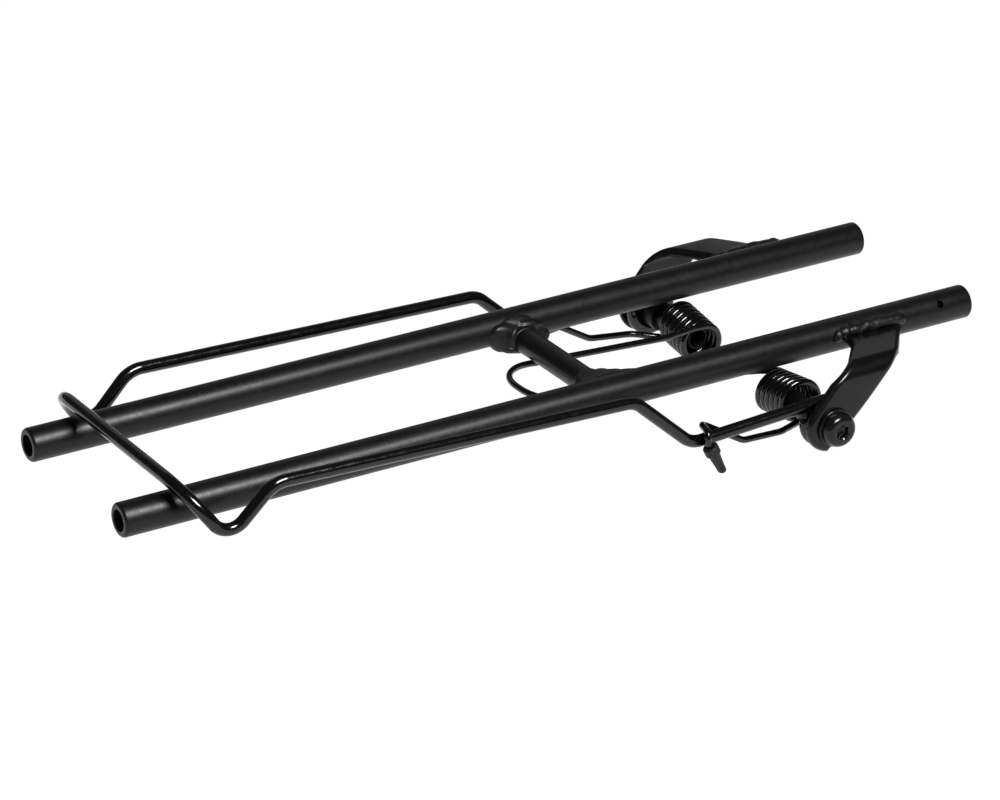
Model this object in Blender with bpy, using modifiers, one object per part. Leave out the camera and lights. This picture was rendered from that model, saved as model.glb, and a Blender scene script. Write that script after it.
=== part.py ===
"""Clamp platform of a luggage rack: two rails, a crossbar and a sprung wire bail.

Units are metres and +Z is up. The rails run along X and the bail's hinge axis along Y.
The origin is under the middle of the object, level with the lowest point of the bail's eyes.
"""

import math

import bmesh
import bpy
from mathutils import Matrix, Vector

OBJECT_NAME = "luggage_rack_clamp"
GAP = 0.0003

RAIL_LENGTH = 0.450
RAIL_RADIUS = 0.008
RAIL_BORE_RADIUS = 0.005
RAIL_EDGE = 0.0014
RAIL_Y = 0.0454
RAIL_Z = 0.0388
PIN_HOLE_RADIUS = 0.0018
PIN_HOLE_DEPTH = 0.012
LEFT_HOLE_FROM_END = 0.0195
RIGHT_HOLE_FROM_END = 0.018
RIGHT_HOLE_ANGLE = math.radians(36)

CROSSBAR_X = 0.0291
CROSSBAR_Z = 0.0348
CROSSBAR_RADIUS = 0.0062
FLARE_REACH = {"front": 0.0190, "rear": 0.0105}
FLARE_HALF_WIDTH = 0.0155
FLARE_HALF_HEIGHT = 0.0069
FLARE_STATIONS = 7
FLARE_SEGMENTS = 24

HINGE_X = 0.1250
HINGE_Z = 0.0129
PLATE = 0.004
WEB_Y = 0.0853
SHELF_TOP = 0.0412
SHELF_INNER_Y = RAIL_Y + RAIL_RADIUS + GAP
BEND_RADIUS = 0.008
BEND_STEPS = 8
END_X = 0.1245
END_RADIUS = 0.0132
BOLT_HOLE_RADIUS = 0.0052
BEAD_RADIUS = 0.0046

WIRE_RADIUS = 0.003
EYE_RADIUS = 0.0099
EYE_Y = 0.0758
EYE_TURN = math.radians(280)

SHANK_RADIUS = 0.00485
THREAD_RADIUS = 0.0041
HEAD_RADIUS = 0.0084
HEAD_HEIGHT = 0.0052
HEAD_RIM = 0.0012
HEAD_FACE_RADIUS = 0.0051
SOCKET_ACROSS_FLATS = 0.006
SOCKET_DEPTH = 0.0032
WASHER_RADIUS = 0.0093
WASHER_THICKNESS = 0.0014
BUSH_RADIUS = 0.0063
BUSH_FLANGE_RADIUS = 0.0095
BUSH_FLANGE = 0.0014
SLEEVE_RADIUS = 0.0052
SLEEVE_BORE_RADIUS = 0.0045
SLEEVE_SHOULDER_RADIUS = 0.0072
SLEEVE_SHOULDER = 0.0090
SLEEVE_INNER_END = 0.033
BOLT_TIP = 0.040

SPRING_RADIUS = 0.0016
SPRING_SHIFT = -0.0014
COIL_SHIFT = 0.0007
COIL_RADIUS = 0.0095
COIL_INNER_END = 0.0302
COIL_OUTER_END = 0.0550
COIL_TURNS = 6.5
COIL_LEAN = (0.03, 0.12)
POINTS_PER_TURN = 12

CAP_RADIUS = 0.0028
CAP_COLLAR_RADIUS = 0.0037
CAP_COLLAR = 0.0044
CAP_BORE_RADIUS = 0.00195
CAP_BORE_DEPTH = 0.011
CAP_LENGTH = 0.0152
CAP_TOP = Vector((0.0602, 0.0792, 0.0166))
CAP_DIRECTION = Vector((0.43, 0.03, -0.90)).normalized()

SIDES = {"front": -1, "rear": 1}


def new_collection(name):
    collection = bpy.data.collections.new(name)
    bpy.context.scene.collection.children.link(collection)
    return collection


def material(name, colour, roughness, metallic=0.0):
    mat = bpy.data.materials.new(name)
    mat.use_nodes = True
    shader = mat.node_tree.nodes["Principled BSDF"]
    shader.inputs["Base Color"].default_value = (*colour, 1)
    shader.inputs["Roughness"].default_value = roughness
    shader.inputs["Metallic"].default_value = metallic
    return mat


def add_object(name, data, mat, collection):
    obj = bpy.data.objects.new(name, data)
    collection.objects.link(obj)
    data.materials.clear()
    data.materials.append(mat)
    return obj


def shade(mesh):
    mesh.shade_smooth()
    mesh.set_sharp_from_angle(angle=math.radians(35))


def aim(obj, start, axis):
    """Puts the object's own origin at start and its own Z along axis."""
    obj.rotation_mode = "QUATERNION"
    obj.rotation_quaternion = Vector((0, 0, 1)).rotation_difference(axis)
    obj.location = start


def cut(obj, cutter, operation="DIFFERENCE"):
    boolean = obj.modifiers.new(cutter.name, "BOOLEAN")
    boolean.operation = operation
    boolean.object = cutter
    boolean.solver = "EXACT"


def as_cutter(obj):
    obj.hide_render = True
    obj.display_type = "WIRE"
    return obj


def turned(name, profile, start, axis, mat, collection, steps=28):
    """Turns a closed (radius, height) profile, given clockwise, about axis through start."""
    mesh = bpy.data.meshes.new(name)
    points = [(radius, 0, height) for radius, height in profile]
    count = len(points)
    edges = [(index, (index + 1) % count) for index in range(count)]
    mesh.from_pydata(points, edges, [])
    obj = add_object(name, mesh, mat, collection)
    screw = obj.modifiers.new("turn", "SCREW")
    screw.steps = screw.render_steps = steps
    screw.use_merge_vertices = True
    screw.merge_threshold = 0.00001
    screw.use_smooth_shade = True
    aim(obj, start, axis)
    return obj


def rod(name, radius, start, end, mat, collection, segments=32):
    """A plain round bar between two points."""
    axis = end - start
    mesh = bpy.data.meshes.new(name)
    bm = bmesh.new()
    bmesh.ops.create_cone(
        bm,
        cap_ends=True,
        segments=segments,
        radius1=radius,
        radius2=radius,
        depth=axis.length,
    )
    bm.to_mesh(mesh)
    bm.free()
    shade(mesh)
    obj = add_object(name, mesh, mat, collection)
    aim(obj, (start + end) / 2, axis)
    return obj


def slab(name, outline, half_thickness, turn, centre, mat, collection):
    """A flat closed outline, thickened, turned from the XY plane and moved to centre."""
    curve = bpy.data.curves.new(name, "CURVE")
    curve.dimensions = "2D"
    curve.fill_mode = "BOTH"
    curve.extrude = half_thickness
    spline = curve.splines.new("POLY")
    spline.points.add(len(outline) - 1)
    spline.use_cyclic_u = True
    for target, point in zip(spline.points, outline):
        target.co = (*point, 0, 1)
    drawn = bpy.data.objects.new(name, curve)
    collection.objects.link(drawn)
    graph = bpy.context.evaluated_depsgraph_get()
    mesh = bpy.data.meshes.new_from_object(drawn.evaluated_get(graph))
    bpy.data.objects.remove(drawn, do_unlink=True)
    bpy.data.curves.remove(curve)
    bm = bmesh.new()
    bm.from_mesh(mesh)
    bmesh.ops.remove_doubles(bm, verts=bm.verts, dist=0.000001)
    bmesh.ops.recalc_face_normals(bm, faces=bm.faces)
    bm.to_mesh(mesh)
    bm.free()
    mesh.name = name
    obj = add_object(name, mesh, mat, collection)
    obj.matrix_world = Matrix.Translation(centre) @ turn
    return obj


def arc(centre, radius, start, end, steps):
    """Points of a flat arc, with its angles in degrees."""
    points = []
    for step in range(steps + 1):
        angle = math.radians(start + (end - start) * step / steps)
        points.append(
            (centre[0] + radius * math.cos(angle), centre[1] + radius * math.sin(angle))
        )
    return points


def bent(corners, step=math.radians(13)):
    """A bent wire's centre line: corners are (point, bend radius), with 0 at the ends."""
    points = [corners[0][0]]
    for (before, _), (corner, radius), (after, _) in zip(
        corners, corners[1:], corners[2:]
    ):
        back = (before - corner).normalized()
        ahead = (after - corner).normalized()
        turn = math.pi - back.angle(ahead)
        setback = radius * math.tan(turn / 2)
        centre = corner + (back + ahead).normalized() * radius / math.cos(turn / 2)
        first = corner + back * setback - centre
        axis = first.cross(corner + ahead * setback - centre).normalized()
        count = max(2, math.ceil(turn / step))
        for index in range(count + 1):
            points.append(centre + Matrix.Rotation(turn * index / count, 3, axis) @ first)
    points.append(corners[-1][0])
    return points


def wire(name, points, radius, origin, mat, collection):
    """A round wire along points, with its object's origin where it turns."""
    curve = bpy.data.curves.new(name, "CURVE")
    curve.dimensions = "3D"
    curve.bevel_depth = radius
    curve.bevel_resolution = 2
    curve.use_fill_caps = True
    spline = curve.splines.new("POLY")
    spline.points.add(len(points) - 1)
    for target, point in zip(spline.points, points):
        target.co = (*(point - origin), 1)
    obj = add_object(name, curve, mat, collection)
    obj.location = origin
    return obj


def mirrored(point, side):
    return Vector((point.x, point.y * side, point.z))


def rail(side_name, side, mat, parts, cutters):
    """A thick-walled tube with rounded end edges and a pin hole near each end."""
    half = RAIL_LENGTH / 2
    centre = Vector((0, side * RAIL_Y, RAIL_Z))
    corner = (RAIL_RADIUS - RAIL_EDGE, half - RAIL_EDGE)
    top = arc(corner, RAIL_EDGE, 90, 0, 3)
    bottom = [(radius, -height) for radius, height in reversed(top)]
    bore = [(RAIL_BORE_RADIUS, -half), (RAIL_BORE_RADIUS, half)]
    name = f"rail_{side_name}"
    obj = turned(name, top + bottom + bore, centre, Vector((1, 0, 0)), mat, parts, 32)
    outward = Vector((0, side * math.cos(RIGHT_HOLE_ANGLE), math.sin(RIGHT_HOLE_ANGLE)))
    holes = {
        "left": (LEFT_HOLE_FROM_END - half, Vector((0, 0, -1))),
        "right": (half - RIGHT_HOLE_FROM_END, outward),
    }
    for end, (x, direction) in holes.items():
        start = centre + Vector((x, 0, 0))
        stop = start + direction * PIN_HOLE_DEPTH
        drill_name = f"{name}_{end}_pin_hole"
        drill = rod(drill_name, PIN_HOLE_RADIUS, start, stop, mat, cutters, 12)
        cut(obj, as_cutter(drill))


def rail_clearance(side_name, side, mat, cutters):
    """The rail's outside and the gap round it, to cut from what is welded to it."""
    start = Vector((-RAIL_LENGTH / 2, side * RAIL_Y, RAIL_Z))
    end = Vector((RAIL_LENGTH / 2, side * RAIL_Y, RAIL_Z))
    name = f"rail_{side_name}_clearance"
    return as_cutter(rod(name, RAIL_RADIUS + GAP, start, end, mat, cutters, 48))


def crossbar(mat, parts, clearances):
    start = Vector((CROSSBAR_X, -RAIL_Y, CROSSBAR_Z))
    end = Vector((CROSSBAR_X, RAIL_Y, CROSSBAR_Z))
    obj = rod("crossbar", CROSSBAR_RADIUS, start, end, mat, parts)
    for clearance in clearances.values():
        cut(obj, clearance)


def flare(side_name, side, mat, parts, cutters, clearance):
    """The weld that spreads the crossbar's end along the rail, lofted from round to oval."""
    name = f"crossbar_weld_{side_name}"
    root = RAIL_Y - RAIL_RADIUS / 2
    tip = RAIL_Y - RAIL_RADIUS - FLARE_REACH[side_name]
    thin = CROSSBAR_RADIUS + 2 * GAP
    mesh = bpy.data.meshes.new(name)
    bm = bmesh.new()
    rings = []
    for station in range(FLARE_STATIONS):
        share = station / (FLARE_STATIONS - 1)
        width = thin + (FLARE_HALF_WIDTH - thin) * share**2.2
        height = thin + (FLARE_HALF_HEIGHT - thin) * share
        y = side * (tip + (root - tip) * share)
        ring = []
        for index in range(FLARE_SEGMENTS):
            angle = math.tau * index / FLARE_SEGMENTS
            x = CROSSBAR_X + width * math.cos(angle)
            z = CROSSBAR_Z + height * math.sin(angle)
            ring.append(bm.verts.new((x, y, z)))
        rings.append(ring)
    for near, far in zip(rings, rings[1:]):
        for index in range(FLARE_SEGMENTS):
            after = (index + 1) % FLARE_SEGMENTS
            bm.faces.new((near[index], near[after], far[after], far[index]))
    bm.faces.new(rings[0])
    bm.faces.new(rings[-1])
    bmesh.ops.recalc_face_normals(bm, faces=bm.faces)
    bm.to_mesh(mesh)
    bm.free()
    shade(mesh)
    obj = add_object(name, mesh, mat, parts)
    start = Vector((CROSSBAR_X, 0, CROSSBAR_Z))
    end = Vector((CROSSBAR_X, side * RAIL_Y, CROSSBAR_Z))
    bar = rod(f"{name}_bar", CROSSBAR_RADIUS + GAP, start, end, mat, cutters)
    cut(obj, clearance)
    cut(obj, as_cutter(bar))


def folded(along, depth):
    """Where a point of the flat blank lies, as (y, z), once the plate is bent.

    along is the distance from the rail over the outer face, depth the distance below it.
    """
    shelf = WEB_Y - BEND_RADIUS - SHELF_INNER_Y
    angle = min(max((along - shelf) / BEND_RADIUS, 0), math.pi / 2)
    past = max(along - shelf - BEND_RADIUS * math.pi / 2, 0)
    radius = BEND_RADIUS - depth
    y = WEB_Y - BEND_RADIUS + min(along - shelf, 0) + radius * math.sin(angle)
    z = SHELF_TOP - BEND_RADIUS - past + radius * math.cos(angle)
    return y, z


def bracket(side_name, side, mat, parts, cutters):
    """A plate cut to a curved outline, then bent: a shelf at the rail, a web at the bolt."""
    name = f"hinge_bracket_{side_name}"
    shelf = WEB_Y - BEND_RADIUS - SHELF_INNER_Y
    end_along = shelf + BEND_RADIUS * (math.pi / 2 - 1) + SHELF_TOP - END_RADIUS
    blank = [
        (0.1838, 0.0000),
        (0.1811, 0.0033),
        (0.1763, 0.0093),
        (0.1713, 0.0163),
        (0.1660, 0.0233),
        (0.1603, 0.0307),
        (0.1552, 0.0367),
        (0.1448, 0.0480),
        (0.1275, 0.0650),
        (0.1253, 0.0668),
        *arc((END_X, end_along), END_RADIUS, 97, 189, 9),
        (0.1134, 0.0500),
        (0.1165, 0.0461),
        (0.1206, 0.0412),
        (0.1260, 0.0350),
        (0.1306, 0.0303),
        (0.1350, 0.0257),
        (0.1403, 0.0193),
        (0.1454, 0.0130),
        (0.1496, 0.0075),
        (0.1522, 0.0000),
    ]
    middle = Vector((0, 0, -PLATE / 2))
    obj = slab(name, blank, PLATE / 2, Matrix.Identity(4), middle, mat, parts)
    bm = bmesh.new()
    bm.from_mesh(obj.data)
    for step in range(BEND_STEPS + 1):
        line = (0, shelf + BEND_RADIUS * math.pi / 2 * step / BEND_STEPS, 0)
        geometry = bm.verts[:] + bm.edges[:] + bm.faces[:]
        bmesh.ops.bisect_plane(bm, geom=geometry, plane_co=line, plane_no=(0, 1, 0))
    for vert in bm.verts:
        y, z = folded(vert.co.y, PLATE / 2 - vert.co.z)
        vert.co = (vert.co.x, side * y, z)
    bmesh.ops.recalc_face_normals(bm, faces=bm.faces)
    bm.to_mesh(obj.data)
    bm.free()
    shade(obj.data)
    obj.matrix_world = Matrix.Identity(4)
    start = Vector((HINGE_X, side * (WEB_Y - 0.01), HINGE_Z))
    end = Vector((HINGE_X, side * (WEB_Y + 0.01), HINGE_Z))
    drill = rod(f"{name}_hole", BOLT_HOLE_RADIUS, start, end, mat, cutters, 24)
    cut(obj, as_cutter(drill))


def bead(side_name, side, mat, parts, cutters, clearance):
    """The weld bead in the corner between the shelf's top face and the rail."""
    name = f"bracket_weld_{side_name}"
    y = side * (RAIL_Y + RAIL_RADIUS)
    z = SHELF_TOP + 0.0004
    start, end = Vector((0.149, y, z)), Vector((0.187, y, z))
    obj = rod(name, BEAD_RADIUS, start, end, mat, parts, 16)
    foot_name = f"{name}_foot"
    foot_mesh = bpy.data.meshes.new(foot_name)
    bm = bmesh.new()
    bmesh.ops.create_cube(bm, size=0.06)
    bm.to_mesh(foot_mesh)
    bm.free()
    foot = add_object(foot_name, foot_mesh, mat, cutters)
    foot.location = (0.17, y, SHELF_TOP + GAP - 0.03)
    cut(obj, clearance)
    cut(obj, as_cutter(foot))


def hinge_piece(name, side, profile, mat, parts, steps=28):
    """A turned piece on the hinge axis; profile heights are distances from the middle."""
    start = Vector((HINGE_X, 0, HINGE_Z))
    return turned(name, profile, start, Vector((0, side, 0)), mat, parts, steps)


def bolt(side_name, side, mat, parts, cutters):
    """A button head bolt with a hex socket; the thread is its plain core."""
    seat = WEB_Y + WASHER_THICKNESS + 2 * GAP
    face = seat + HEAD_HEIGHT
    neck = EYE_Y - WIRE_RADIUS + 2 * GAP
    dome_width = HEAD_RADIUS - HEAD_FACE_RADIUS
    dome_height = HEAD_HEIGHT - HEAD_RIM
    dome = []
    for step in range(6):
        angle = math.radians(90 - 18 * step)
        radius = HEAD_FACE_RADIUS + dome_width * math.cos(angle)
        dome.append((radius, seat + HEAD_RIM + dome_height * math.sin(angle)))
    profile = [
        (0, face),
        *dome,
        (HEAD_RADIUS - 0.0004, seat),
        (SHANK_RADIUS, seat),
        (SHANK_RADIUS, neck),
        (THREAD_RADIUS, neck - 0.0006),
        (THREAD_RADIUS, BOLT_TIP + 0.0008),
        (THREAD_RADIUS - 0.0008, BOLT_TIP),
        (0, BOLT_TIP),
    ]
    name = f"pivot_bolt_{side_name}"
    obj = hinge_piece(name, side, profile, mat, parts, 24)
    start = Vector((HINGE_X, side * (face - SOCKET_DEPTH), HINGE_Z))
    end = Vector((HINGE_X, side * (face + 0.002), HINGE_Z))
    radius = SOCKET_ACROSS_FLATS / math.sqrt(3)
    cut(obj, as_cutter(rod(f"{name}_socket", radius, start, end, mat, cutters, 6)))


def washer(side_name, side, mat, parts):
    low = WEB_Y + GAP
    high = low + WASHER_THICKNESS
    bore = BOLT_HOLE_RADIUS
    profile = [(bore, high), (WASHER_RADIUS, high), (WASHER_RADIUS, low), (bore, low)]
    hinge_piece(f"washer_{side_name}", side, profile, mat, parts)


def bush(side_name, side, mat, parts):
    """The flanged bush that one of the bail's eyes turns on."""
    high = WEB_Y - PLATE - GAP
    low = EYE_Y - WIRE_RADIUS
    bore = BOLT_HOLE_RADIUS
    profile = [
        (bore, high),
        (BUSH_FLANGE_RADIUS, high),
        (BUSH_FLANGE_RADIUS, high - BUSH_FLANGE),
        (BUSH_RADIUS, high - BUSH_FLANGE),
        (BUSH_RADIUS, low),
        (bore, low),
    ]
    hinge_piece(f"pivot_bush_{side_name}", side, profile, mat, parts)


def sleeve(side_name, side, mat, parts):
    """The threaded sleeve inside the spring's coil, with a thicker end by the eye."""
    high = EYE_Y - WIRE_RADIUS - GAP
    shoulder = high - SLEEVE_SHOULDER
    profile = [
        (SLEEVE_BORE_RADIUS, high),
        (SLEEVE_SHOULDER_RADIUS, high),
        (SLEEVE_SHOULDER_RADIUS, shoulder),
        (SLEEVE_RADIUS, shoulder),
        (SLEEVE_RADIUS, SLEEVE_INNER_END),
        (SLEEVE_BORE_RADIUS, SLEEVE_INNER_END),
    ]
    hinge_piece(f"spring_sleeve_{side_name}", side, profile, mat, parts)


def bail_half():
    """From the middle of the bail's cross wire to the end of the rear eye."""
    corners = [
        (Vector((-0.2016, 0.0000, 0.0541)), 0),
        (Vector((-0.2016, 0.0676, 0.0541)), 0.0224),
        (Vector((-0.1837, 0.0687, 0.0283)), 0.0093),
        (Vector((-0.1606, 0.0702, 0.0509)), 0.0146),
        (Vector((0.0245, 0.0711, 0.0447)), 0.012),
        (Vector((0.0545, 0.0722, 0.0170)), 0.012),
        (Vector((HINGE_X, EYE_Y, HINGE_Z + EYE_RADIUS)), 0),
    ]
    points = bent(corners)
    steps = 22
    for step in range(1, steps + 1):
        angle = EYE_TURN * step / steps
        x = HINGE_X + EYE_RADIUS * math.sin(angle)
        z = HINGE_Z + EYE_RADIUS * math.cos(angle)
        points.append(Vector((x, EYE_Y, z)))
    return points


def bail(mat, parts):
    """One bent wire: a cross wire, two side wires and an eye at each end."""
    rear = bail_half()
    front = [mirrored(point, -1) for point in reversed(rear[1:])]
    origin = Vector((HINGE_X, 0, HINGE_Z))
    return wire("bail_wire", front + rear, WIRE_RADIUS, origin, mat, parts)


def coil(side):
    """One coil, from its inner end at the top to its outer end at the bottom."""
    middle = (COIL_INNER_END + COIL_OUTER_END) / 2
    count = round(COIL_TURNS * POINTS_PER_TURN)
    points = []
    for index in range(count + 1):
        share = index / count
        along = COIL_INNER_END + (COIL_OUTER_END - COIL_INNER_END) * share
        angle = math.tau * COIL_TURNS * share
        x = HINGE_X + COIL_SHIFT + COIL_LEAN[0] * (along - middle) + COIL_RADIUS * math.sin(angle)
        z = HINGE_Z + COIL_LEAN[1] * (along - middle) + COIL_RADIUS * math.cos(angle)
        points.append(Vector((x, SPRING_SHIFT + side * along, z)))
    return points


def inner_leg(side):
    """From the nose of the loop, under the crossbar, towards the top of the coil."""
    corners = [
        (Vector((0.0058, 0.0000, 0.0286)), 0),
        (Vector((0.0058, 0.0250, 0.0286)), 0.023),
        (Vector((0.0310, 0.0250, 0.0257)), 0.030),
        (Vector((0.1040, 0.0245, 0.0216)), 0.020),
        (Vector((0.1200, 0.0288, 0.0206)), 0),
    ]
    loop_centre = Vector((0, 0.001, 0))
    return bent([(mirrored(point, side) + loop_centre, radius) for point, radius in corners])


def outer_leg(side, coil_end):
    """From the coil along the side wire's inner side, over it and down into the cap."""
    corners = [
        (Vector((0.1080, 0.0660, 0.0083)), 0.012),
        (Vector((0.0855, 0.0682, 0.0104)), 0.008),
        (Vector((0.0622, 0.0676, 0.0234)), 0.0046),
        (Vector((0.0598, 0.0789, 0.0234)), 0.0036),
        (CAP_TOP - CAP_DIRECTION * 0.0020, 0.004),
        (CAP_TOP + CAP_DIRECTION * (CAP_BORE_DEPTH - 0.0005), 0),
    ]
    return bent([(coil_end, 0), *[(mirrored(p, side), radius) for p, radius in corners]])


def spring(mat, parts):
    """One double torsion spring wire, from hook to hook."""
    halves = []
    for side in (-1, 1):
        turns = coil(side)
        halves.append(inner_leg(side) + turns + outer_leg(side, turns[-1])[1:])
    points = list(reversed(halves[0]))[:-1] + halves[1][1:]
    wire("torsion_spring", points, SPRING_RADIUS, Vector((0, 0, 0)), mat, parts)


def cap(side_name, side, mat, parts):
    """The blind plastic sleeve pushed over the spring's hooked end."""
    profile = [
        (0, CAP_LENGTH),
        (CAP_RADIUS * 0.6, CAP_LENGTH),
        (CAP_RADIUS, CAP_LENGTH - 0.0012),
        (CAP_RADIUS, CAP_COLLAR + 0.0008),
        (CAP_COLLAR_RADIUS, CAP_COLLAR),
        (CAP_COLLAR_RADIUS, 0),
        (CAP_BORE_RADIUS, 0),
        (CAP_BORE_RADIUS, CAP_BORE_DEPTH),
        (0, CAP_BORE_DEPTH),
    ]
    start, axis = mirrored(CAP_TOP, side), mirrored(CAP_DIRECTION, side)
    return turned(f"spring_cap_{side_name}", profile, start, axis, mat, parts, 16)


def pivot(moving, parts):
    """An empty on the hinge axis, holding all that turns with the bail."""
    empty = bpy.data.objects.new("bail_pivot", None)
    parts.objects.link(empty)
    empty.location = (HINGE_X, 0, HINGE_Z)
    for obj in moving:
        obj.parent = empty
        obj.location -= empty.location


def main():
    for obj in list(bpy.data.objects):
        bpy.data.objects.remove(obj, do_unlink=True)
    parts = new_collection(OBJECT_NAME)
    cutters = new_collection("cutters")
    powder = material("black_powder_coat", (0.010, 0.010, 0.011), 0.42)
    plate = material("black_plate_coat", (0.011, 0.011, 0.012), 0.30)
    gloss = material("gloss_black_wire", (0.008, 0.008, 0.009), 0.14)
    bolt_black = material("black_oxide_steel", (0.012, 0.012, 0.013), 0.20, 0.6)
    steel = material("dark_steel", (0.06, 0.06, 0.065), 0.35, 0.8)
    nylon = material("black_nylon", (0.014, 0.014, 0.014), 0.50)
    plastic = material("cap_plastic", (0.012, 0.012, 0.012), 0.60)
    clearances = {}
    moving = []
    for side_name, side in SIDES.items():
        rail(side_name, side, powder, parts, cutters)
        clearances[side_name] = rail_clearance(side_name, side, powder, cutters)
        flare(side_name, side, powder, parts, cutters, clearances[side_name])
        bracket(side_name, side, plate, parts, cutters)
        bead(side_name, side, powder, parts, cutters, clearances[side_name])
        bolt(side_name, side, bolt_black, parts, cutters)
        washer(side_name, side, bolt_black, parts)
        bush(side_name, side, nylon, parts)
        sleeve(side_name, side, steel, parts)
        moving.append(cap(side_name, side, plastic, parts))
    crossbar(powder, parts, clearances)
    moving.append(bail(gloss, parts))
    spring(gloss, parts)
    pivot(moving, parts)


main()
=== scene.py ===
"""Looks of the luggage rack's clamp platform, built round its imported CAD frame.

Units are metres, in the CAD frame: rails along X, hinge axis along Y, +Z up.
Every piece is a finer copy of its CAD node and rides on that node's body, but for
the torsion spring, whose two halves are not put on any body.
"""

import math

import bmesh
import bpy
from mathutils import Euler, Matrix, Vector, noise


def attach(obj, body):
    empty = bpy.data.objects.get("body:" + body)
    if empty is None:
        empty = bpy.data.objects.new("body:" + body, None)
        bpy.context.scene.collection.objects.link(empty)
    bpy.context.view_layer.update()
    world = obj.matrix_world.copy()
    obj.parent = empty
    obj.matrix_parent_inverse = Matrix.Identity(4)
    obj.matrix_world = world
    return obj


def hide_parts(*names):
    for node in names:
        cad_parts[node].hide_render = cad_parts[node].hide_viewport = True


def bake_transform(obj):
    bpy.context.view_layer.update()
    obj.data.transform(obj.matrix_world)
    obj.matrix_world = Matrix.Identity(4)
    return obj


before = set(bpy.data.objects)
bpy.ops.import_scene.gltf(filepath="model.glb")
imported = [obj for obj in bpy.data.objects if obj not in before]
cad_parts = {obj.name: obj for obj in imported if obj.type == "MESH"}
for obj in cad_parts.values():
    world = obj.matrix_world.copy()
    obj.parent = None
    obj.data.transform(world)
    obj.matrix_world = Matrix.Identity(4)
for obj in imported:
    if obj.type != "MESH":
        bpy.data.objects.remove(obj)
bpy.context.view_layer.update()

RAIL_HALF = 0.225
RAIL_RADIUS = 0.008
BORE_RADIUS = 0.005
RAIL_Y = 0.0454
RAIL_Z = 0.0388
CROSSBAR_X = 0.0291
CROSSBAR_Z = 0.0348
CROSSBAR_RADIUS = 0.0062
HINGE = Vector((0.1250, 0, 0.0129))
PLATE = 0.004
WEB_Y = 0.0853
SHELF_TOP = 0.0412
SHELF_INNER_Y = 0.0537
BEND_RADIUS = 0.008
WIRE_RADIUS = 0.003
EYE_RADIUS = 0.0099
EYE_Y = 0.0758
SPRING_RADIUS = 0.0016
SPRING_SHIFT = -0.0014
COIL_SHIFT = 0.0007
COIL_RADIUS = 0.0095
COIL_INNER_END = 0.0302
COIL_OUTER_END = 0.0550
COIL_TURNS = 6.5
COIL_LEAN = (0.03, 0.12)
CAP_TOP = Vector((0.0602, 0.0792, 0.0166))
CAP_DIRECTION = Vector((0.43, 0.03, -0.90)).normalized()
CAP_LENGTH = 0.0152
SIDES = {"front": -1, "rear": 1}
BOLT_HOLE = 0.0052

# Lumps of weld metal round each end of the crossbar: centre, radii and lean in degrees.
CROSSBAR_LUMPS = {
    "front": [
        ((0.0350, -0.0378, 0.0416), (0.0150, 0.0036, 0.0026), (30, 0, 0)),
        ((0.0380, -0.0330, 0.0388), (0.0075, 0.0080, 0.0030), (0, 8, -38)),
        ((0.0364, -0.0262, 0.0376), (0.0042, 0.0074, 0.0033), (0, 0, 31)),
        ((0.0190, -0.0370, 0.0370), (0.0048, 0.0036, 0.0050), (0, 0, 10)),
    ],
    "rear": [
        ((0.0205, 0.0384, 0.0366), (0.0094, 0.0046, 0.0076), (0, 12, -6)),
        ((0.0305, 0.0398, 0.0418), (0.0112, 0.0026, 0.0044), (-42, 8, 0)),
        ((0.0340, 0.0375, 0.0405), (0.0070, 0.0028, 0.0022), (-20, 12, 0)),
        ((0.0395, 0.0385, 0.0322), (0.0062, 0.0030, 0.0044), (0, 0, 8)),
        ((0.0280, 0.0366, 0.0310), (0.0100, 0.0046, 0.0030), (0, 0, 0)),
    ],
}


# ---------------------------------------------------------------- materials


def shader_of(name):
    """A new material, with its node tree and its shader."""
    mat = bpy.data.materials.new(name)
    mat.use_nodes = True
    return mat, mat.node_tree, mat.node_tree.nodes["Principled BSDF"]


def noise_of(tree, scale, detail, stretch=None):
    """Noise in the object's own metres, so that it stays put when the piece moves."""
    coords = tree.nodes.new("ShaderNodeTexCoord")
    output = coords.outputs["Object"]
    if stretch:
        mapping = tree.nodes.new("ShaderNodeMapping")
        mapping.inputs["Scale"].default_value = stretch
        tree.links.new(output, mapping.inputs["Vector"])
        output = mapping.outputs["Vector"]
    tex = tree.nodes.new("ShaderNodeTexNoise")
    tex.inputs["Scale"].default_value = scale
    tex.inputs["Detail"].default_value = detail
    tree.links.new(output, tex.inputs["Vector"])
    return tex.outputs["Fac"]


def roughen(tree, shader, value, low, high):
    """Maps noise onto a range of roughness."""
    node = tree.nodes.new("ShaderNodeMapRange")
    limits = {"From Min": 0.3, "From Max": 0.7, "To Min": low, "To Max": high}
    for name, limit in limits.items():
        node.inputs[name].default_value = limit
    tree.links.new(value, node.inputs["Value"])
    tree.links.new(node.outputs["Result"], shader.inputs["Roughness"])


def tint(tree, shader, value, dark, light):
    """Blends two shades by noise into the base colour."""
    ramp = tree.nodes.new("ShaderNodeValToRGB")
    stops = zip(ramp.color_ramp.elements, (0.35, 0.68), (dark, light))
    for element, position, shade in stops:
        element.position = position
        element.color = (*shade, 1)
    tree.links.new(value, ramp.inputs["Fac"])
    tree.links.new(ramp.outputs["Color"], shader.inputs["Base Color"])


def bumps(tree, shader, layers):
    """Stacks bump layers, each (noise output, strength, height in metres)."""
    normal = None
    for value, strength, height in layers:
        bump = tree.nodes.new("ShaderNodeBump")
        bump.inputs["Strength"].default_value = strength
        bump.inputs["Distance"].default_value = height
        tree.links.new(value, bump.inputs["Height"])
        if normal:
            tree.links.new(normal, bump.inputs["Normal"])
        normal = bump.outputs["Normal"]
    tree.links.new(normal, shader.inputs["Normal"])


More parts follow.
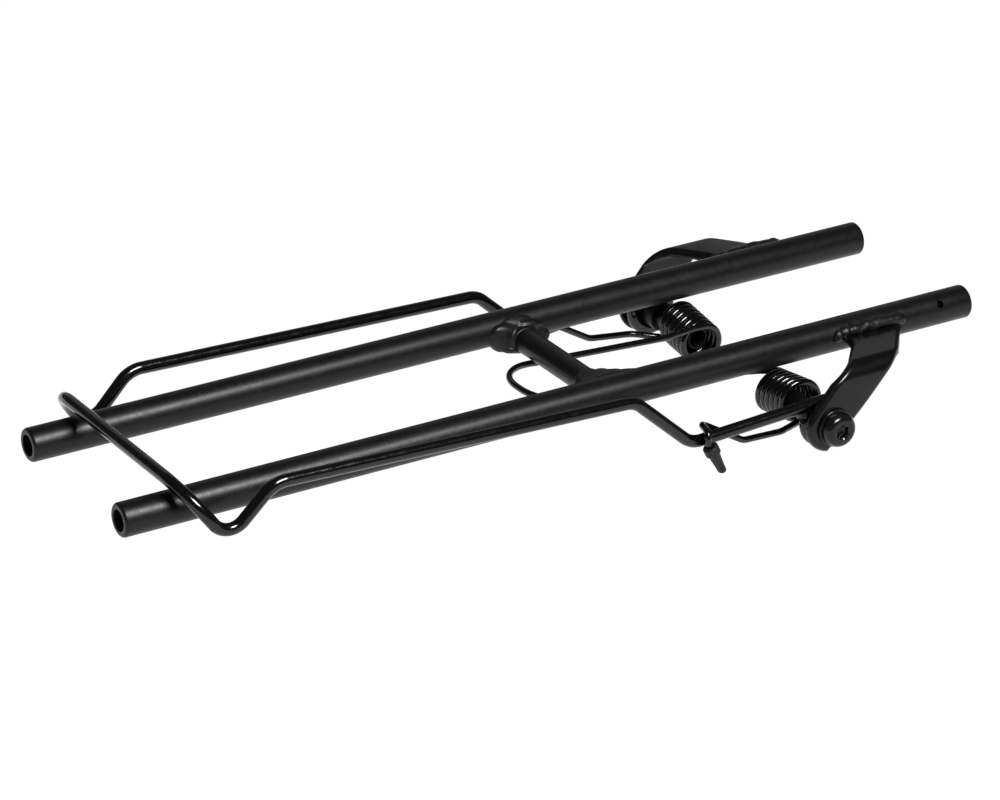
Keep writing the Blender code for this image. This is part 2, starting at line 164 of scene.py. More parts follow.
def powder_coat():
    """Satin black powder coat: fine grain over a soft orange peel."""
    mat, tree, shader = shader_of("powder_coat")
    patches = noise_of(tree, 45, 4)
    tint(tree, shader, patches, (0.0013, 0.0013, 0.0014), (0.0024, 0.0024, 0.0025))
    roughen(tree, shader, noise_of(tree, 320, 3), 0.35, 0.43)
    shader.inputs["Specular IOR Level"].default_value = 0.30
    grain, peel = noise_of(tree, 2600, 2), noise_of(tree, 520, 2)
    bumps(tree, shader, [(peel, 0.35, 0.00006), (grain, 0.45, 0.00004)])
    return mat


def plate_coat():
    """The brackets' smoother satin coat."""
    mat, tree, shader = shader_of("plate_coat")
    patches = noise_of(tree, 60, 4)
    tint(tree, shader, patches, (0.0014, 0.0014, 0.0015), (0.0026, 0.0026, 0.0027))
    roughen(tree, shader, noise_of(tree, 240, 3), 0.20, 0.27)
    shader.inputs["Specular IOR Level"].default_value = 0.32
    grain, peel = noise_of(tree, 1800, 2), noise_of(tree, 260, 2)
    bumps(tree, shader, [(peel, 0.30, 0.00005), (grain, 0.25, 0.00002)])
    return mat


def weld_coat():
    """Powder coat pooled over weld metal: a little rougher, and rippled."""
    mat, tree, shader = shader_of("weld_coat")
    patches = noise_of(tree, 120, 4)
    tint(tree, shader, patches, (0.0013, 0.0013, 0.0014), (0.0024, 0.0024, 0.0025))
    roughen(tree, shader, noise_of(tree, 400, 3), 0.36, 0.50)
    shader.inputs["Specular IOR Level"].default_value = 0.34
    grain, ripple = noise_of(tree, 1500, 2), noise_of(tree, 300, 3)
    bumps(tree, shader, [(ripple, 0.3, 0.00008), (grain, 0.3, 0.00003)])
    return mat


def gloss_coat():
    """Wet-looking black over drawn wire."""
    mat, tree, shader = shader_of("gloss_coat")
    patches = noise_of(tree, 90, 3)
    tint(tree, shader, patches, (0.0008, 0.0008, 0.0009), (0.0014, 0.0014, 0.0015))
    roughen(tree, shader, noise_of(tree, 300, 3), 0.10, 0.19)
    peel, specks = noise_of(tree, 380, 2), noise_of(tree, 1900, 2)
    bumps(tree, shader, [(peel, 0.22, 0.00005), (specks, 0.12, 0.00002)])
    return mat


def bolt_black():
    """Polished black oxide with faint turning marks."""
    mat, tree, shader = shader_of("bolt_black")
    patches = noise_of(tree, 200, 3)
    tint(tree, shader, patches, (0.004, 0.004, 0.0043), (0.007, 0.007, 0.0075))
    shader.inputs["Metallic"].default_value = 0.35
    roughen(tree, shader, noise_of(tree, 700, 3), 0.14, 0.24)
    bumps(tree, shader, [(noise_of(tree, 1400, 2), 0.2, 0.00002)])
    return mat


def dark_steel():
    """Bare darkened steel with turned grooves round the hinge axis."""
    mat, tree, shader = shader_of("dark_steel")
    patches = noise_of(tree, 150, 4)
    tint(tree, shader, patches, (0.008, 0.008, 0.0084), (0.018, 0.0178, 0.0175))
    shader.inputs["Metallic"].default_value = 0.8
    grooves = noise_of(tree, 60, 2, (2, 60, 2))
    roughen(tree, shader, grooves, 0.30, 0.48)
    bumps(tree, shader, [(grooves, 0.3, 0.00004)])
    return mat


def black_nylon():
    """Moulded nylon, matt."""
    mat, tree, shader = shader_of("black_nylon")
    tint(tree, shader, noise_of(tree, 300, 3), (0.002, 0.002, 0.002), (0.004, 0.004, 0.004))
    roughen(tree, shader, noise_of(tree, 600, 2), 0.45, 0.58)
    bumps(tree, shader, [(noise_of(tree, 1600, 2), 0.25, 0.00003)])
    return mat


def cap_plastic():
    """Matt soft plastic, a little greyer than the metal."""
    mat, tree, shader = shader_of("cap_plastic")
    tint(tree, shader, noise_of(tree, 260, 3), (0.0035, 0.0035, 0.0035), (0.006, 0.006, 0.006))
    roughen(tree, shader, noise_of(tree, 700, 2), 0.50, 0.65)
    shader.inputs["Specular IOR Level"].default_value = 0.35
    bumps(tree, shader, [(noise_of(tree, 1300, 3), 0.35, 0.00005)])
    return mat


# ---------------------------------------------------------------- mesh tools


def finish_mesh(name, bm, mat, angle=35):
    """Makes an object of bm, smooth but for edges sharper than angle."""
    bmesh.ops.recalc_face_normals(bm, faces=bm.faces)
    mesh = bpy.data.meshes.new(name)
    bm.to_mesh(mesh)
    bm.free()
    mesh.shade_smooth()
    mesh.set_sharp_from_angle(angle=math.radians(angle))
    obj = bpy.data.objects.new(name, mesh)
    bpy.context.scene.collection.objects.link(obj)
    mesh.materials.append(mat)
    return obj


def applied(obj):
    """Turns obj's modifiers into plain mesh."""
    graph = bpy.context.evaluated_depsgraph_get()
    mesh = bpy.data.meshes.new_from_object(obj.evaluated_get(graph))
    obj.modifiers.clear()
    obj.data = mesh
    mesh.name = obj.name


def carve(obj, cutters):
    """Cuts closed meshes out of obj for good, then removes them."""
    for cutter in cutters:
        boolean = obj.modifiers.new(cutter.name, "BOOLEAN")
        boolean.operation = "DIFFERENCE"
        boolean.object = cutter
        boolean.solver = "EXACT"
    applied(obj)
    for cutter in cutters:
        bpy.data.objects.remove(cutter, do_unlink=True)
    obj.data.shade_smooth()
    obj.data.set_sharp_from_angle(angle=math.radians(35))
    return obj


def loft(rings, bm=None):
    """A closed skin over rings of points, all of one length, in bm or a new bmesh."""
    if bm is None:
        bm = bmesh.new()
    rows = [[bm.verts.new(point) for point in ring] for ring in rings]
    count = len(rows[0])
    for near, far in zip(rows, rows[1:]):
        for index in range(count):
            after = (index + 1) % count
            bm.faces.new((near[index], near[after], far[after], far[index]))
    bm.faces.new(rows[0])
    bm.faces.new(rows[-1])
    return bm


def turned(name, profile, start, axis, mat, segments=64, closed=True, hexes=()):
    """Turns a profile of (radius, height) about axis; closed joins its last point to its first.

    The rows in hexes are hexagons, whose radius is half the width across flats.
    """
    stand = Matrix.Translation(start) @ axis.to_track_quat("Z", "Y").to_matrix().to_4x4()
    bm = bmesh.new()
    rows = []
    for number, (radius, height) in enumerate(profile):
        if radius < 1e-7:
            rows.append([bm.verts.new(stand @ Vector((0, 0, height)))])
            continue
        row = []
        for step in range(segments):
            turn = math.tau * step / segments
            off_flat = (turn + math.pi / 6) % (math.pi / 3) - math.pi / 6
            reach = radius / math.cos(off_flat) if number in hexes else radius
            point = Vector((reach * math.cos(turn), reach * math.sin(turn), height))
            row.append(bm.verts.new(stand @ point))
        rows.append(row)
    pairs = list(zip(rows, rows[1:]))
    if closed:
        pairs.append((rows[-1], rows[0]))
    for near, far in pairs:
        if len(near) == len(far) == 1:
            continue
        for index in range(segments):
            after = (index + 1) % segments
            if len(near) == 1:
                bm.faces.new((near[0], far[after], far[index]))
            elif len(far) == 1:
                bm.faces.new((near[index], near[after], far[0]))
            else:
                bm.faces.new((near[index], near[after], far[after], far[index]))
    return finish_mesh(name, bm, mat)


def round_corner(centre, radius, start, end, steps):
    """(radius, height) points of a profile's rounded corner, with angles in degrees."""
    points = []
    for step in range(steps + 1):
        turn = math.radians(start + (end - start) * step / steps)
        out, up = radius * math.cos(turn), radius * math.sin(turn)
        points.append((centre[0] + out, centre[1] + up))
    return points


def bent(corners):
    """A bent wire's centre line: corners are (point, bend radius), with 0 at the ends."""
    step = math.radians(5)
    points = [corners[0][0]]
    for (before, _), (corner, radius), (after, _) in zip(corners, corners[1:], corners[2:]):
        back = (before - corner).normalized()
        ahead = (after - corner).normalized()
        turn = math.pi - back.angle(ahead)
        setback = radius * math.tan(turn / 2)
        centre = corner + (back + ahead).normalized() * radius / math.cos(turn / 2)
        first = corner + back * setback - centre
        axis = first.cross(corner + ahead * setback - centre).normalized()
        count = max(2, math.ceil(turn / step))
        for index in range(count + 1):
            points.append(centre + Matrix.Rotation(turn * index / count, 3, axis) @ first)
    points.append(corners[-1][0])
    return points


def tube_rings(points, radius_at, sides):
    """Rings round a line of points, carried along it without twist."""
    count = len(points)
    tangents = []
    for index in range(count):
        ahead = points[min(index + 1, count - 1)] - points[max(index - 1, 0)]
        tangents.append(ahead.normalized())
    across = tangents[0].orthogonal().normalized()
    rings = []
    for index, (point, tangent) in enumerate(zip(points, tangents)):
        if index:
            turn = tangents[index - 1].rotation_difference(tangent)
            across = turn @ across
        across = (across - tangent * across.dot(tangent)).normalized()
        up = tangent.cross(across)
        ring = []
        for side in range(sides):
            angle = math.tau * side / sides
            radius = radius_at(index, angle)
            ring.append(point + (across * math.cos(angle) + up * math.sin(angle)) * radius)
        rings.append(ring)
    return rings


def wire(name, points, radius, mat, sides, bevel=0.0):
    """A round wire, with its cut ends bevelled."""
    line = list(points)
    if bevel:
        first = (line[1] - line[0]).normalized() * bevel
        last = (line[-2] - line[-1]).normalized() * bevel
        line = [line[0], line[0] + first, *line[1:-1], line[-1] + last, line[-1]]
    final = len(line) - 1

    def radius_at(index, _):
        return radius - bevel if bevel and index in (0, final) else radius

    return finish_mesh(name, loft(tube_rings(line, radius_at, sides)), mat, 50)


def mirrored(point, side):
    """The point on the given side of the middle plane."""
    return Vector((point.x, point.y * side, point.z))


def rod(name, start, end, radius, sides=32):
    """A plain cutter for holes."""
    rings = tube_rings([start, end], lambda _, __: radius, sides)
    return finish_mesh(name, loft(rings), BLACK["powder"])


def blob(bm, centre, radii, lean):
    """Adds a lump of weld metal, with an uneven skin and a lean in degrees."""
    turn = Euler([math.radians(angle) for angle in lean]).to_matrix()
    made = bmesh.ops.create_icosphere(bm, subdivisions=4, radius=1)
    for vert in made["verts"]:
        way = vert.co.copy()
        rough = 1 + 0.10 * noise.noise(way * 1.7 + centre * 900)
        vert.co = centre + turn @ Vector([w * r * rough for w, r in zip(way, radii)])


def fused(name, bm, voxel, rounds):
    """Melts overlapping lumps of weld metal into one smooth skin."""
    obj = finish_mesh(name, bm, BLACK["weld"])
    remesh = obj.modifiers.new("melt", "REMESH")
    remesh.mode = "VOXEL"
    remesh.voxel_size = voxel
    smooth = obj.modifiers.new("flow", "SMOOTH")
    smooth.factor = 0.5
    smooth.iterations = rounds
    applied(obj)
    obj.data.materials.clear()
    obj.data.materials.append(BLACK["weld"])
    obj.data.shade_smooth()
    return obj


def shrunk(outline, inset):
    """A closed anticlockwise outline, moved inwards by inset."""
    moved = []
    neighbours = zip(outline[-1:] + outline[:-1], outline, outline[1:] + outline[:1])
    for before, point, after in neighbours:
        a = (Vector(point) - Vector(before)).normalized()
        b = (Vector(after) - Vector(point)).normalized()
        mean = (a + b).normalized()
        normal = Vector((-mean.y, mean.x))
        stretch = min(1.5, 1 / max(0.5, a.dot(mean)))
        moved.append(tuple(Vector(point) + normal * inset * stretch))
    return moved


def curve_through(points):
    """A Catmull-Rom curve through flat points, ends included."""
    steps = 6
    found = []
    padded = [Vector(point) for point in (points[0], *points, points[-1])]
    for a, b, c, d in zip(padded, padded[1:], padded[2:], padded[3:]):
        slope, curve, twist = c - a, 2 * a - 5 * b + 4 * c - d, 3 * b - a - 3 * c + d
        for step in range(steps):
            t = step / steps
            found.append(tuple(b + (slope * t + curve * t**2 + twist * t**3) / 2))
    return [*found, points[-1]]


def place(obj, body, slot, *nodes):
    """Puts a finished piece on its body, in place of its CAD nodes; the slot is not used."""
    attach(obj, body)
    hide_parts(*nodes)


# ---------------------------------------------------------------- pieces


def rail(side_name, side):
    """A thick tube with rounded ends, a bore and two pin holes."""
    edge, lip, pin_hole = 0.0015, 0.0004, 0.0018
    outer = round_corner((RAIL_RADIUS - edge, RAIL_HALF - edge), edge, 90, 0, 7)
    inner = round_corner((BORE_RADIUS + lip, RAIL_HALF - lip), lip, 180, 90, 4)
    top = inner + outer
    profile = top + [(radius, -height) for radius, height in reversed(top)]
    centre = Vector((0, side * RAIL_Y, RAIL_Z))
    name = f"rail_{side_name}_tube"
    obj = turned(name, profile, centre, Vector((1, 0, 0)), BLACK["powder"], 96)
    lean = math.radians(36)
    directions = {
        "left": (0.0195 - RAIL_HALF, Vector((0, 0, -1))),
        "right": (RAIL_HALF - 0.018, Vector((0, side * math.cos(lean), math.sin(lean)))),
    }
    drills = []
    for end, (x, direction) in directions.items():
        start = centre + Vector((x, 0, 0))
        drills.append(rod(f"{name}_{end}", start, start + direction * 0.012, pin_hole))
    place(carve(obj, drills), "frame", "black_powder_coat", f"rail_{side_name}")


def crossbar():
    """The bar between the rails, faintly uneven under its paint."""
    unevenness = 0.00006
    points = [Vector((CROSSBAR_X, y * 0.001, CROSSBAR_Z)) for y in range(-45, 46, 3)]

    def radius_at(index, angle):
        spot = points[index] * 70 + Vector((math.cos(angle), 0, math.sin(angle)))
        return CROSSBAR_RADIUS + unevenness * noise.noise(spot)

    obj = finish_mesh("crossbar_bar", loft(tube_rings(points, radius_at, 64)), BLACK["powder"])
    place(obj, "frame", "black_powder_coat", "crossbar")


def fillet_rings(side, root, tip, power):
    """Rings that widen from the crossbar's skin at tip to a broad foot at root."""
    stations, sides = 26, 72
    thin, broad, tall, ripple = CROSSBAR_RADIUS + 0.0004, 0.0155, 0.0066, 0.0003
    rings = []
    for station in range(stations):
        share = station / (stations - 1)
        width = thin + (broad - thin) * share**power
        height = thin + (tall - thin) * share
        y = side * (tip + (root - tip) * share)
        ring = []
        for index in range(sides):
            angle = math.tau * index / sides
            out = Vector((math.cos(angle), 0, math.sin(angle)))
            point = Vector((CROSSBAR_X + width * out.x, y, CROSSBAR_Z + height * out.z))
            swell = ripple * noise.noise(point * 200) * min(1, share * 4)
            ring.append(point + out * swell)
        rings.append(ring)
    return rings


def crossbar_weld(side_name, side):
    """Weld metal that spreads the crossbar's end along the rail in concave fillets."""
    reach, power = (0.0168, 0.85) if side < 0 else (0.0048, 1.2)
    root, tip = RAIL_Y - 0.003, RAIL_Y - RAIL_RADIUS - reach
    bm = loft(fillet_rings(side, root, tip, power))
    for centre, radii, lean in CROSSBAR_LUMPS[side_name]:
        blob(bm, Vector(centre), radii, lean)
    turns, seam = 60, 0.0004
    middle = Vector((CROSSBAR_X, side * (tip + seam), CROSSBAR_Z))
    ridge = []
    for step in range(turns):
        turn = math.tau * step / turns
        across = Vector((math.cos(turn), 0, math.sin(turn)))
        ridge.append(middle + across * (CROSSBAR_RADIUS + 0.0001))
    loft(tube_rings([*ridge, ridge[0]], lambda _, __: seam, 10), bm)
    obj = fused(f"crossbar_fillet_{side_name}", bm, 0.00035, 24)
    place(obj, "frame", "black_powder_coat", f"crossbar_weld_{side_name}")


def folded(along, depth):
    """Where a point of the flat blank lies, as (y, z), once the plate is bent."""
    shelf = WEB_Y - BEND_RADIUS - SHELF_INNER_Y
    angle = min(max((along - shelf) / BEND_RADIUS, 0), math.pi / 2)
    past = max(along - shelf - BEND_RADIUS * math.pi / 2, 0)
    radius = BEND_RADIUS - depth
    y = WEB_Y - BEND_RADIUS + min(along - shelf, 0) + radius * math.sin(angle)
    z = SHELF_TOP - BEND_RADIUS - past + radius * math.cos(angle)
    return y, z


def bracket(side_name, side):
    """A plate cut to a curved outline, its edges eased, then bent over."""
    shelf = WEB_Y - BEND_RADIUS - SHELF_INNER_Y
    end_radius = 0.0132
    end_along = shelf + BEND_RADIUS * (math.pi / 2 - 1) + SHELF_TOP - end_radius
    right = [
        (0.1838, 0.0000),
        (0.1811, 0.0033),
        (0.1763, 0.0093),
        (0.1713, 0.0163),
        (0.1660, 0.0233),
        (0.1603, 0.0307),
        (0.1552, 0.0367),
        (0.1448, 0.0480),
        (0.1362, 0.0565),
        (0.1275, 0.0650),
        (0.1240, 0.0674),
    ]
    left = [
        (0.1123, 0.0520),
        (0.1134, 0.0500),
        (0.1165, 0.0461),
        (0.1206, 0.0412),
        (0.1260, 0.0350),
        (0.1306, 0.0303),
        (0.1350, 0.0257),
        (0.1403, 0.0193),
        (0.1454, 0.0130),
        (0.1496, 0.0075),
        (0.1522, 0.0000),
    ]
    end = round_corner((0.1245, end_along), end_radius, 101, 186, 22)
    outline = curve_through(right) + end + curve_through(left)
    quarter = [math.radians(15 * step) for step in range(7)]
    rolled, broken = 0.0030, 0.0005
    steps = [(rolled * (1 - math.sin(t)), rolled * (1 - math.cos(t))) for t in quarter]
    steps += [
        (broken * (1 - math.cos(t)), PLATE - broken * (1 - math.sin(t))) for t in quarter
    ]
    rings = []
    for inset, depth in steps:
        rings.append([(x, along, depth) for x, along in shrunk(outline, inset)])
    bm = loft(rings)
    caps = [face for face in bm.faces if len(face.verts) > 4]
    bmesh.ops.triangulate(bm, faces=caps)
    folds = 28
    for step in range(folds + 1):
        line = shelf + BEND_RADIUS * math.pi / 2 * step / folds
        geometry = bm.verts[:] + bm.edges[:] + bm.faces[:]
        bmesh.ops.bisect_plane(bm, geom=geometry, plane_co=(0, line, 0), plane_no=(0, 1, 0))
    for vert in bm.verts:
        y, z = folded(vert.co.y, vert.co.z)
        vert.co = (vert.co.x, side * y, z)
    obj = finish_mesh(f"bracket_{side_name}_plate", bm, BLACK["plate"], 30)
    start = Vector((HINGE.x, side * (WEB_Y - 0.01), HINGE.z))
    hole = rod("bolt_hole", start, start + Vector((0, side * 0.02, 0)), BOLT_HOLE, 48)
    place(carve(obj, [hole]), "frame", "black_plate_coat", f"hinge_bracket_{side_name}")


def bracket_weld(side_name, side):
    """The bead between the shelf and the rail: a soft ridge, with blobs at its ends."""
    y, height = RAIL_Y + RAIL_RADIUS - 0.0006, 0.0428
    lumps = [
        ((0.1478, y + 0.0006, 0.0415), (0.0026, 0.0026, 0.0034), (0, 20, 0)),
        ((0.1524, y - 0.0002, 0.0425), (0.0030, 0.0030, 0.0030), (0, -15, 0)),
        ((0.1540, y + 0.0008, 0.0382), (0.0022, 0.0022, 0.0024), (0, 0, 0)),
        ((0.1822, y, 0.0420), (0.0040, 0.0034, 0.0030), (0, 0, 8)),
        ((0.1700, y, 0.0436), (0.0075, 0.0030, 0.0026), (0, 0, 0)),
    ]
    step, x, end = 0.0015, 0.1562, 0.1820
    while x < end:
        drift = noise.noise(Vector((x * 260, side, 0)))
        centre = (x, y - 0.0004 * drift, height + 0.0009 * drift)
        lumps.append((centre, (0.0024, 0.0036, 0.0030), (0, 35, 0)))
        x += step * (1 + 0.5 * drift)
    bm = bmesh.new()
    for (px, py, pz), radii, lean in lumps:
        mirrored_lean = (lean[0] * side, lean[1], lean[2] * side)
        blob(bm, Vector((px, side * py, pz)), radii, mirrored_lean)
    obj = fused(f"bracket_{side_name}_bead", bm, 0.0003, 44)
    place(obj, "frame", "black_powder_coat", f"bracket_weld_{side_name}")


def hinge_piece(name, side, profile, mat, slot, node):
    """A turned piece on the hinge axis; heights are distances from the middle."""
    obj = turned(name, profile, HINGE, Vector((0, side, 0)), mat)
    place(obj, "frame", slot, node)


def eased(inner, outer, low, high, ease):
    """A ring's profile with all four corners rounded."""
    return (
        round_corner((inner + ease, low + ease), ease, 270, 180, 3)
        + round_corner((inner + ease, high - ease), ease, 180, 90, 3)
        + round_corner((outer - ease, high - ease), ease, 90, 0, 3)
        + round_corner((outer - ease, low + ease), ease, 0, -90, 3)
    )


def bolt(side_name, side):
    """A button head with a chamfered hex socket, a shank and a plain core."""
    seat = WEB_Y + 0.0020
    rim, face, head, flat = seat + 0.0012, seat + 0.0052, 0.0084, 0.0051
    socket_floor, half_flats = face - 0.0034, 0.0030
    shank, thread, tip = 0.00485, 0.0041, 0.0400
    dome = []
    for step in range(15):
        angle = math.radians(step * 6)
        radius = flat + (head - flat) * math.sin(angle)
        dome.append((radius, rim + (face - rim) * math.cos(angle)))
    profile = [
        (0, socket_floor - 0.0010),
        (half_flats * 0.92, socket_floor),
        (half_flats, socket_floor + 0.0002),
        (half_flats, face - 0.0006),
        (half_flats + 0.0009, face),
        (flat * 0.97, face),
        *dome,
        (head - 0.0001, seat + 0.0003),
        (head - 0.0004, seat),
        (shank, seat),
        (shank, 0.0734),
        (thread, 0.0728),
        (thread, tip + 0.0008),
        (thread - 0.0008, tip),
        (0, tip),
    ]
    name, axis = f"bolt_{side_name}_screw", Vector((0, side, 0))
    socket_rows = (1, 2, 3)
    obj = turned(name, profile, HINGE, axis, BLACK["bolt"], 72, closed=False, hexes=socket_rows)
    place(obj, "frame", "black_oxide_steel", f"pivot_bolt_{side_name}")


def washer(side_name, side):
    """The washer between the bolt's head and the bracket."""
    ring = eased(BOLT_HOLE, 0.0093, WEB_Y + 0.0003, WEB_Y + 0.0017, 0.0003)
    name, node = f"washer_{side_name}_ring", f"washer_{side_name}"
    hinge_piece(name, side, ring, BLACK["bolt"], "black_oxide_steel", node)


def bush(side_name, side):
    """The flanged bush that the bail's eye turns on."""
    high, low = WEB_Y - PLATE - 0.0003, EYE_Y - WIRE_RADIUS
    flange, barrel, edge = 0.0095, 0.0063, 0.0004
    profile = [
        (BOLT_HOLE, low),
        (BOLT_HOLE, high),
        *round_corner((flange - edge, high - edge), edge, 90, 0, 3),
        *round_corner((flange - edge, high - 0.0010), edge, 0, -90, 3),
        (barrel, high - 0.0014),
        (barrel, low + 0.0003),
        (barrel - 0.0003, low),
    ]
    name, node = f"bush_{side_name}_flanged", f"pivot_bush_{side_name}"
    hinge_piece(name, side, profile, BLACK["nylon"], "black_nylon", node)


def sleeve(side_name, side):
    """The threaded sleeve inside the coil, with a shoulder against the eye."""
    low, high = 0.0330, EYE_Y - WIRE_RADIUS - 0.0003
    shoulder = high - 0.0090
    bore, barrel, collar, edge = 0.0045, 0.0052, 0.0072, 0.0004
    profile = [
        (bore, low + edge),
        (bore, high - edge),
        (bore + edge, high),
        *round_corner((collar - edge, high - edge), edge, 90, 0, 3),
        *round_corner((collar - edge, shoulder + edge), edge, 0, -90, 3),
        (barrel, shoulder),
        (barrel, low + edge),
        (barrel - 0.0003, low),
        (bore + 0.0001, low),
    ]
    name, node = f"sleeve_{side_name}_nut", f"spring_sleeve_{side_name}"
    hinge_piece(name, side, profile, BLACK["steel"], "dark_steel", node)


def bail():
    """The bail in one wire: cross wire, dips, side wires, knees and eyes."""
    corners = [
        (Vector((-0.2016, 0.0000, 0.0541)), 0),
        (Vector((-0.2016, 0.0676, 0.0541)), 0.0224),
        (Vector((-0.1837, 0.0687, 0.0283)), 0.0093),
        (Vector((-0.1606, 0.0702, 0.0509)), 0.0146),
        (Vector((0.0245, 0.0711, 0.0447)), 0.012),
        (Vector((0.0545, 0.0722, 0.0170)), 0.012),
        (Vector((HINGE.x, EYE_Y, HINGE.z + EYE_RADIUS)), 0),
    ]
    rear = bent(corners)
    steps = 70
    for step in range(1, steps + 1):
        angle = math.radians(280) * step / steps
        out = Vector((math.sin(angle), 0, math.cos(angle)))
        rear.append(HINGE + Vector((0, EYE_Y, 0)) + out * EYE_RADIUS)
    front = [mirrored(point, -1) for point in reversed(rear[1:])]
    obj = wire("bail_bent_wire", front + rear, WIRE_RADIUS, BLACK["gloss"], 28, 0.0004)
    place(obj, "bail", "gloss_black_wire", "bail_wire")


def spring_line(side):
    """One half of the spring: half the nose loop, a leg, the coil and the outer leg."""
    leg_shift = Vector((0, 0.001, 0))
    leg = [
        (Vector((0.0058, 0.0000, 0.0286)), 0),
        (Vector((0.0058, 0.0250, 0.0286)), 0.023),
        (Vector((0.0310, 0.0250, 0.0257)), 0.030),
        (Vector((0.1040, 0.0245, 0.0216)), 0.020),
        (Vector((0.1200, 0.0288, 0.0206)), 0),
    ]
    points = bent([(mirrored(point, side) + leg_shift, radius) for point, radius in leg])
    middle = (COIL_INNER_END + COIL_OUTER_END) / 2
    count = round(COIL_TURNS * 44)
    for index in range(count + 1):
        share = index / count
        along = COIL_INNER_END + (COIL_OUTER_END - COIL_INNER_END) * share
        angle = math.tau * COIL_TURNS * share
        centre_x = HINGE.x + COIL_SHIFT + COIL_LEAN[0] * (along - middle)
        centre_z = HINGE.z + COIL_LEAN[1] * (along - middle)
        x = centre_x + COIL_RADIUS * math.sin(angle)
        z = centre_z + COIL_RADIUS * math.cos(angle)
        points.append(Vector((x, SPRING_SHIFT + side * along, z)))
    hook = [
        (Vector((0.1080, 0.0660, 0.0072)), 0.012),
        (Vector((0.0855, 0.0682, 0.0092)), 0.008),
        (Vector((0.0622, 0.0676, 0.0234)), 0.0046),
        (Vector((0.0598, 0.0789, 0.0234)), 0.0036),
        (CAP_TOP - CAP_DIRECTION * 0.0020, 0.004),
        (CAP_TOP + CAP_DIRECTION * 0.0105, 0),
    ]
    outer = bent([(points[-1], 0), *[(mirrored(point, side), radius) for point, radius in hook]])
    return points + outer[1:]


def spring():
    """The double torsion spring, in two halves that meet at the loop's nose."""
    for side_name, side in SIDES.items():
        name, line = f"spring_{side_name}_half", spring_line(side)
        obj = wire(name, line, SPRING_RADIUS, BLACK["gloss"], 18)
        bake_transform(obj)
        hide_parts("torsion_spring")


def cap(side_name, side):
    """A soft sleeve on the hooked end, with a thicker collar and a pinched tip."""
    body, collar, edge, tip_edge = 0.0028, 0.0037, 0.0005, 0.0010
    profile = [
        (0.0018, 0.0004),
        (0.0021, 0),
        *round_corner((collar - edge, edge), edge, -90, 0, 4),
        *round_corner((collar - edge, 0.0039), edge, 0, 70, 4),
        (body + 0.0003, 0.0048),
        (body, 0.0054),
        (body, 0.0080),
        (body * 1.02, CAP_LENGTH - 0.0030),
        *round_corner((body - tip_edge, CAP_LENGTH - tip_edge), tip_edge, 0, 90, 5),
        (0, CAP_LENGTH),
    ]
    start, axis = mirrored(CAP_TOP, side), mirrored(CAP_DIRECTION, side)
    name = f"cap_{side_name}_sleeve"
    obj = turned(name, profile, start, axis, BLACK["plastic"], 48, closed=False)
    across = axis.cross(Vector((0, 1, 0))).normalized()
    pinch_start, pinch_length, most_pinch = 0.0055, 0.006, 0.28
    for vert in obj.data.vertices:
        along = (vert.co - start).dot(axis)
        pinch = most_pinch * min(max((along - pinch_start) / pinch_length, 0), 1)
        off = (vert.co - start).dot(across)
        vert.co -= across * off * pinch
    place(obj, "bail", "cap_plastic", f"spring_cap_{side_name}")


# ---------------------------------------------------------------- studio


def floor():
    """A pale floor that gives light of its own, so that no shadow greys it."""
    bm = bmesh.new()
    bmesh.ops.create_grid(bm, x_segments=8, y_segments=8, size=6)
    mat, tree, shader = shader_of("pale_floor")
    tint(tree, shader, noise_of(tree, 3, 3), (0.030, 0.030, 0.030), (0.036, 0.036, 0.036))
    roughen(tree, shader, noise_of(tree, 8, 2), 0.85, 0.95)
    shader.inputs["Specular IOR Level"].default_value = 0
    shader.inputs["Emission Color"].default_value = (1, 1, 1, 1)
    shader.inputs["Emission Strength"].default_value = 1.0
    obj = finish_mesh("studio_floor", bm, mat)
    obj.location.z = -0.0002


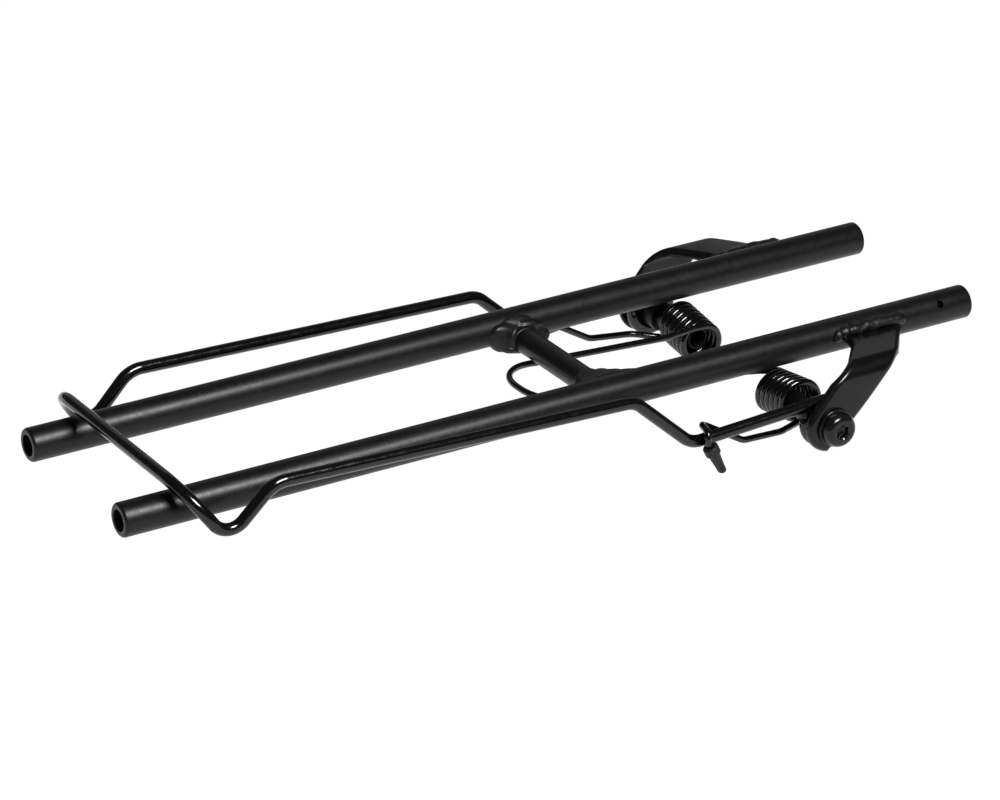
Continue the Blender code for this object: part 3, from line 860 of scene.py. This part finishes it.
def area_light(name, spot, size, power):
    """A soft box at spot that faces the origin."""
    light = bpy.data.lights.new(name, "AREA")
    light.shape = "RECTANGLE"
    light.size, light.size_y = size
    light.energy = power
    obj = bpy.data.objects.new(name, light)
    bpy.context.scene.collection.objects.link(obj)
    obj.location = spot
    obj.rotation_euler = Vector(spot).to_track_quat("Z", "Y").to_euler()


def studio():
    """A dim white world, a small key light in front and a wide one behind."""
    scene = bpy.context.scene
    world = bpy.data.worlds.new("studio")
    world.use_nodes = True
    background = world.node_tree.nodes["Background"]
    background.inputs["Color"].default_value = (1, 1, 1, 1)
    background.inputs["Strength"].default_value = 0.08
    scene.world = world
    scene.view_settings.view_transform = "Standard"
    area_light("key", (0.08, -0.95, 1.15), (0.60, 0.42), 38)
    area_light("back", (1.20, 2.60, 1.30), (3.0, 1.6), 4)


def camera():
    """At the photograph's viewing angle: a long lens from the front left, above."""
    azimuth, elevation, roll = (math.radians(angle) for angle in (30.22, 24.74, 0.79))
    target, distance = Vector((-0.0535, -0.0837, 0.0698)), 2.306
    ahead = Vector((
        math.sin(azimuth) * math.cos(elevation),
        math.cos(azimuth) * math.cos(elevation),
        -math.sin(elevation),
    ))
    level = Vector((math.cos(azimuth), -math.sin(azimuth), 0))
    down = ahead.cross(level)
    right = level * math.cos(roll) + down * math.sin(roll)
    data = bpy.data.cameras.new("camera")
    data.sensor_width = 36
    data.lens = 187.13
    obj = bpy.data.objects.new("camera", data)
    bpy.context.scene.collection.objects.link(obj)
    turn = Matrix((right, -ahead.cross(right), -ahead)).transposed().to_4x4()
    obj.matrix_world = Matrix.Translation(target - ahead * distance) @ turn
    bpy.context.scene.camera = obj


BLACK = {
    "powder": powder_coat(),
    "plate": plate_coat(),
    "weld": weld_coat(),
    "gloss": gloss_coat(),
    "bolt": bolt_black(),
    "steel": dark_steel(),
    "nylon": black_nylon(),
    "plastic": cap_plastic(),
}
for side_name, side in SIDES.items():
    rail(side_name, side)
    crossbar_weld(side_name, side)
    bracket(side_name, side)
    bracket_weld(side_name, side)
    bolt(side_name, side)
    washer(side_name, side)
    bush(side_name, side)
    sleeve(side_name, side)
    cap(side_name, side)
crossbar()
bail()
spring()
floor()
studio()
camera()
